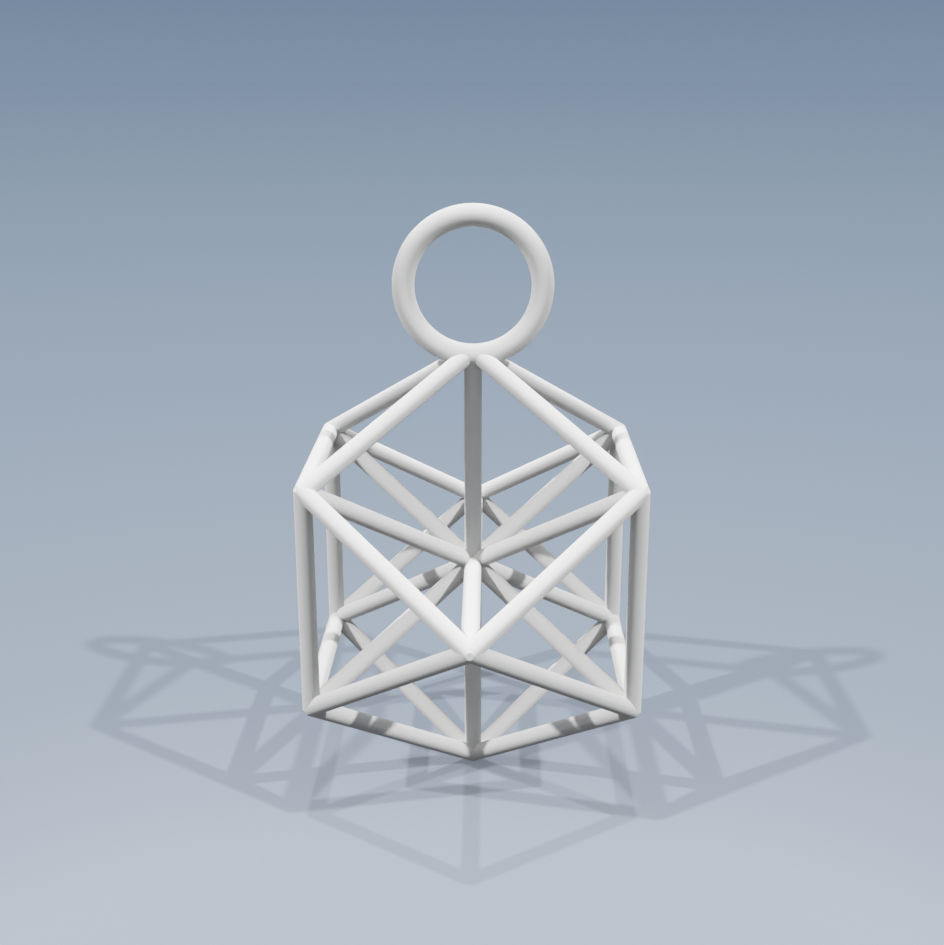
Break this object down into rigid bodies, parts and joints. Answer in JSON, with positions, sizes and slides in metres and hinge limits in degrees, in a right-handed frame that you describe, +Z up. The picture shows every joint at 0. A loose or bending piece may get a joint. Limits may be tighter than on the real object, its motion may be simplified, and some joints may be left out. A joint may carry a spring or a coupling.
{
  "type": "vector equilibrium pendant",
  "caption": "Rigid open pendant: a cuboctahedron of thin round rods with spokes to its centre, hung point up from a plain ring fused to its top joint.",
  "frame": {"origin": "the inside of the top of the hanging ring, where a cord or jump ring bears", "axes": "+Z up along the hanging axis, +Y through the ring's hole away from the viewer, +X to the viewer's right; the ring lies in the XZ plane"},
  "size_m": [0.0216, 0.0301, 0.0388],
  "materials": {
    "white_plastic": "matte near-white, fine even grain of printed nylon"
  },
  "bodies": {
    "root": {"edge_back_to_lower_back_left": "white_plastic", "edge_back_to_lower_back_right": "white_plastic", "edge_back_to_upper_back_left": "white_plastic", "edge_back_to_upper_back_right": "white_plastic", "edge_bottom_to_lower_back_left": "white_plastic", "edge_bottom_to_lower_back_right": "white_plastic", "edge_bottom_to_lower_front_left": "white_plastic", "edge_bottom_to_lower_front_right": "white_plastic", "edge_front_to_lower_front_left": "white_plastic", "edge_front_to_lower_front_right": "white_plastic", "edge_front_to_upper_front_left": "white_plastic", "edge_front_to_upper_front_right": "white_plastic", "edge_lower_front_left_to_lower_back_left": "white_plastic", "edge_lower_front_right_to_lower_back_right": "white_plastic", "edge_top_to_upper_back_left": "white_plastic", "edge_top_to_upper_back_right": "white_plastic", "edge_top_to_upper_front_left": "white_plastic", "edge_top_to_upper_front_right": "white_plastic", "edge_upper_back_left_to_lower_back_left": "white_plastic", "edge_upper_back_right_to_lower_back_right": "white_plastic", "edge_upper_front_left_to_lower_front_left": "white_plastic", "edge_upper_front_left_to_upper_back_left": "white_plastic", "edge_upper_front_right_to_lower_front_right": "white_plastic", "edge_upper_front_right_to_upper_back_right": "white_plastic", "hanging_ring": "white_plastic", "spoke_back": "white_plastic", "spoke_bottom": "white_plastic", "spoke_front": "white_plastic", "spoke_lower_back_left": "white_plastic", "spoke_lower_back_right": "white_plastic", "spoke_lower_front_left": "white_plastic", "spoke_lower_front_right": "white_plastic", "spoke_top": "white_plastic", "spoke_upper_back_left": "white_plastic", "spoke_upper_back_right": "white_plastic", "spoke_upper_front_left": "white_plastic", "spoke_upper_front_right": "white_plastic"}
  },
  "joints": []
}
